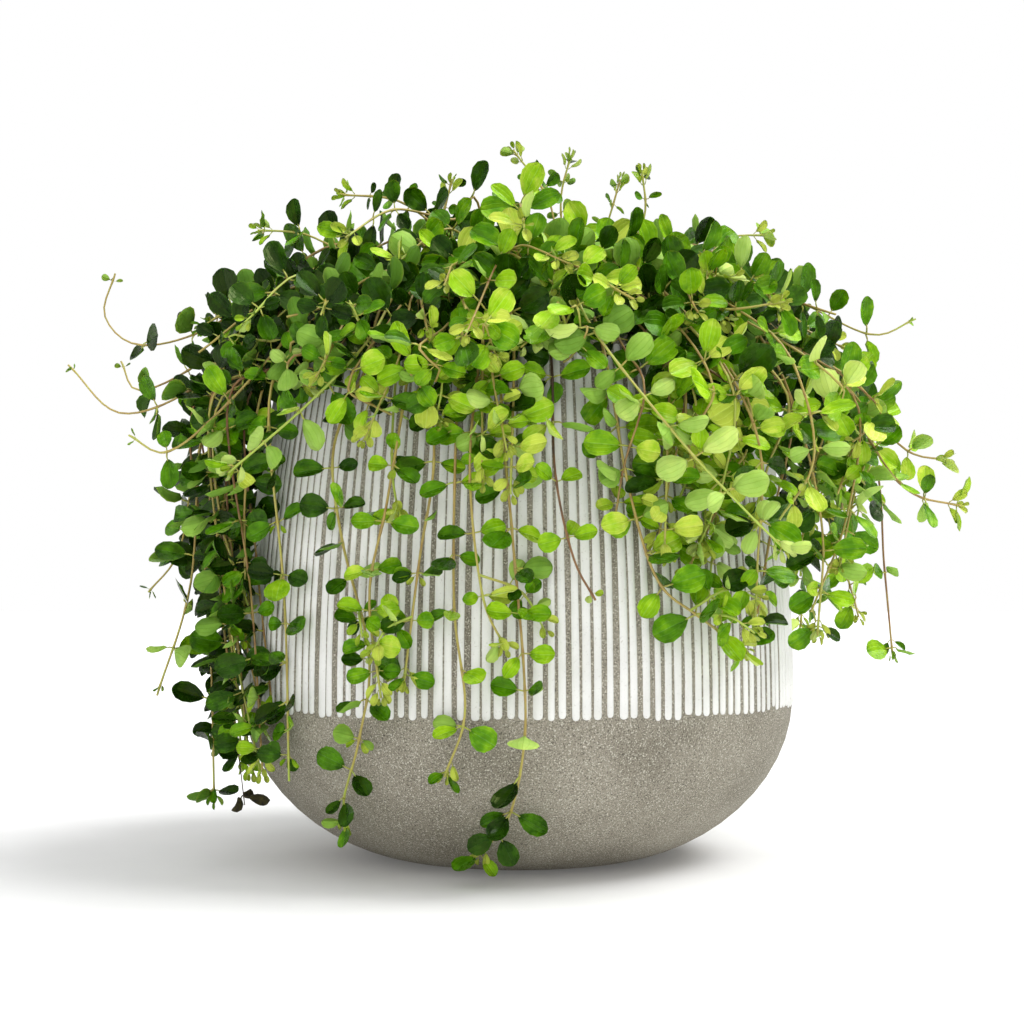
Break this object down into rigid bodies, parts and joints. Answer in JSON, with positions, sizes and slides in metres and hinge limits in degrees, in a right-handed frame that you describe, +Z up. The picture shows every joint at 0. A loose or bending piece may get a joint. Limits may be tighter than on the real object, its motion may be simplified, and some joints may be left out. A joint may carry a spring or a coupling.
{
  "type": "potted trailing jade plant",
  "caption": "Small-leaved trailing jade plant in a black grower's pot, standing in a round stone pot with raised white stripes.",
  "frame": {"origin": "middle of the flat foot of the pot, on the surface it stands on", "axes": "+Z up, +X to the right seen from the front, the front looks along -Y"},
  "size_m": [0.3427, 0.2789, 0.2788],
  "materials": {
    "stone": "fine speckled cast stone with raised white stripes",
    "black_plastic": "moulded black polypropylene",
    "soil": "damp peat potting soil",
    "leafy_stem": "fleshy waxy green leaves on thin stems"
  },
  "bodies": {
    "root": {"nursery_pot": "black_plastic", "pot": "stone", "soil": "soil", "trail_back_1": "leafy_stem", "trail_back_10": "leafy_stem", "trail_back_11": "leafy_stem", "trail_back_2": "leafy_stem", "trail_back_3": "leafy_stem", "trail_back_4": "leafy_stem", "trail_back_5": "leafy_stem", "trail_back_6": "leafy_stem", "trail_back_7": "leafy_stem", "trail_back_8": "leafy_stem", "trail_back_9": "leafy_stem", "trail_front_b": "leafy_stem", "trail_front_c": "leafy_stem", "trail_front_d": "leafy_stem", "trail_front_e": "leafy_stem", "trail_front_f": "leafy_stem", "trail_front_left": "leafy_stem", "trail_front_short": "leafy_stem", "trail_left_curl": "leafy_stem", "trail_left_curl_b": "leafy_stem", "trail_left_curl_c": "leafy_stem", "trail_left_curl_d": "leafy_stem", "trail_left_curtain": "leafy_stem", "trail_left_long": "leafy_stem", "trail_left_long_b": "leafy_stem", "trail_left_pale": "leafy_stem", "trail_left_tip": "leafy_stem", "trail_left_tip_b": "leafy_stem", "trail_mound_1": "leafy_stem", "trail_mound_2": "leafy_stem", "trail_mound_3": "leafy_stem", "trail_mound_4": "leafy_stem", "trail_mound_5": "leafy_stem", "trail_mound_6": "leafy_stem", "trail_mound_7": "leafy_stem", "trail_mound_8": "leafy_stem", "trail_mound_9": "leafy_stem", "trail_right_curl": "leafy_stem", "trail_right_dark": "leafy_stem", "trail_right_drop": "leafy_stem", "trail_right_far": "leafy_stem", "trail_right_far_b": "leafy_stem", "trail_right_hang": "leafy_stem", "trail_right_low": "leafy_stem", "trail_right_pale": "leafy_stem", "trail_right_top": "leafy_stem", "trail_top_left": "leafy_stem", "trail_top_right": "leafy_stem", "trail_top_sprig_a": "leafy_stem", "trail_top_sprig_b": "leafy_stem", "trail_top_sprig_c": "leafy_stem", "trail_top_sprig_d": "leafy_stem", "trail_top_sprig_e": "leafy_stem", "trail_top_sprig_f": "leafy_stem"}
  },
  "joints": []
}
